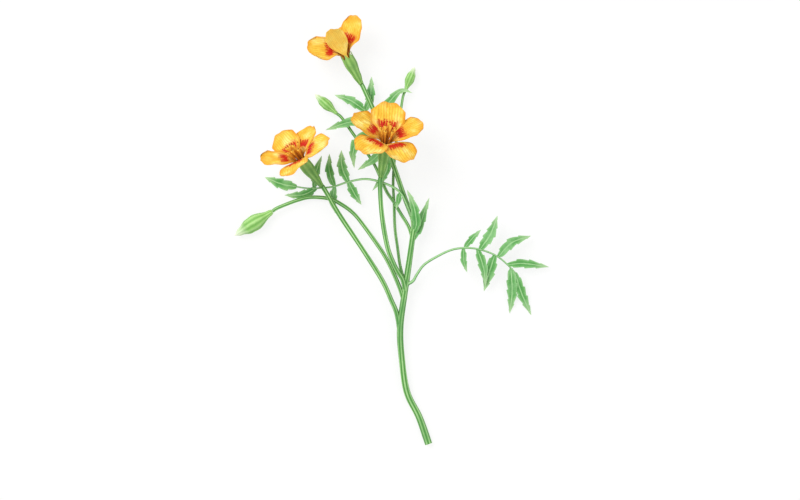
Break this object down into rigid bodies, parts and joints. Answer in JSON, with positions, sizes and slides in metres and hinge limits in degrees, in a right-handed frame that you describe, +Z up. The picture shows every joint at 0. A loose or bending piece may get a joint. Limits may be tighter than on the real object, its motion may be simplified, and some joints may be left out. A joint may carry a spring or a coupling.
{
  "type": "marigold flower",
  "caption": "Cut branching stem of single French marigold with orange five-rayed flower heads, buds and toothed feathery leaves, lying on a surface.",
  "frame": {"origin": "middle of the footprint, on the surface that the stem lies on", "axes": "+Y from the cut end towards the flower heads, +X across the spray, +Z up from the surface"},
  "size_m": [0.1822, 0.2468, 0.0465],
  "materials": {
    "stem": "satin",
    "leaf": "satin",
    "calyx": "satin",
    "bud": "satin",
    "ray": "matte",
    "floret": "matte"
  },
  "bodies": {
    "root": {"main_stem": "stem", "flower_stalk_left": "stem", "flower_stalk_middle": "stem", "flower_stalk_upper": "stem", "bud_stalk_low": "stem", "bud_stalk_top": "stem", "bud_stalk_side": "stem", "calyx_middle": "calyx", "disc_florets_middle": "floret", "ray_middle_1": "ray", "ray_middle_2": "ray", "ray_middle_3": "ray", "ray_middle_4": "ray", "ray_middle_5": "ray", "calyx_left": "calyx", "disc_florets_left": "floret", "ray_left_1": "ray", "ray_left_2": "ray", "ray_left_3": "ray", "ray_left_4": "ray", "ray_left_5": "ray", "calyx_upper": "calyx", "disc_florets_upper": "floret", "ray_upper_1": "ray", "ray_upper_2": "ray", "ray_upper_3": "ray", "ray_upper_4": "ray", "ray_upper_5": "ray", "bud_low": "bud", "bud_side": "bud", "bud_top": "bud", "leaf_right": "leaf", "leaf_left": "leaf", "leaf_upper": "leaf", "leaf_node_broad": "leaf", "leaf_node_toothed": "leaf"}
  },
  "joints": []
}
